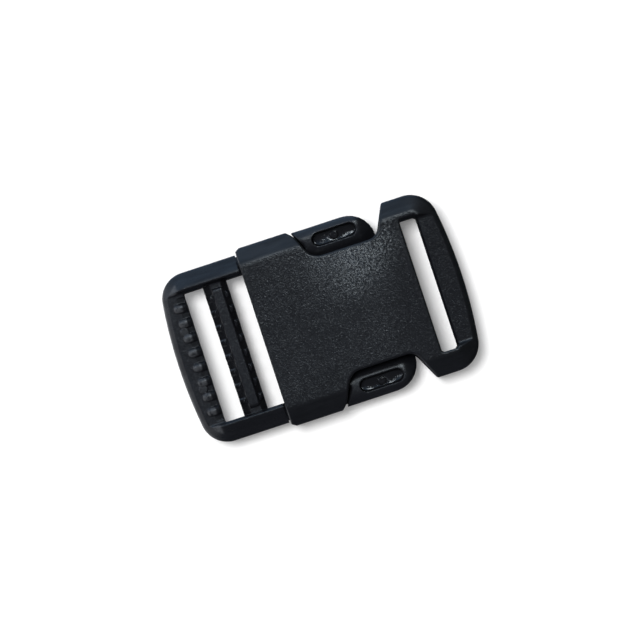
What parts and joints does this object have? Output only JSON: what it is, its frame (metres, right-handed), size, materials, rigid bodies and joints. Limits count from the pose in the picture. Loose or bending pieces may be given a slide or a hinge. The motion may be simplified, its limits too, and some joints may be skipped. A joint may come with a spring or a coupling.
{
  "type": "side-release buckle",
  "caption": "Latched side-release buckle for 25 mm webbing: a socket with a fixed strap bar, and a plug with a two-slot strap adjuster and two squeeze-release latch arms.",
  "frame": {"origin": "centre of the latched buckle's bounding box, on the middle plane of both mouldings", "axes": "+X from the plug's toothed end bar towards the socket's tail, +Y across the strap towards the left latch arm, +Z out of the top face"},
  "size_m": [0.057, 0.0358, 0.009],
  "materials": {
    "socket_plastic": "fine spark-eroded grain on the faces, satin on the sloping shoulders",
    "plug_plastic": "satin, glossier in the pockets and between the teeth"
  },
  "bodies": {
    "socket": {"socket": "socket_plastic"},
    "plug": {"plug_frame": "plug_plastic"},
    "latch_arm_left": {"latch_arm_left": "plug_plastic"},
    "latch_arm_right": {"latch_arm_right": "plug_plastic"}
  },
  "joints": [
    {"name": "plug_slide", "type": "slide", "parent": "socket", "child": "plug", "axis": [-1, 0, 0], "range_m": [-0.0003, 0.034], "deforming": ["latch_arm_left", "latch_arm_right"]},
    {"name": "latch_left_press", "type": "hinge", "parent": "plug", "child": "latch_arm_left", "pos_m": [-0.007, 0.01395, 0], "axis": [0, 0, -1], "range_deg": [0, 12]},
    {"name": "latch_right_press", "type": "hinge", "parent": "plug", "child": "latch_arm_right", "pos_m": [-0.007, -0.01395, 0], "axis": [0, 0, 1], "range_deg": [0, 12]}
  ]
}
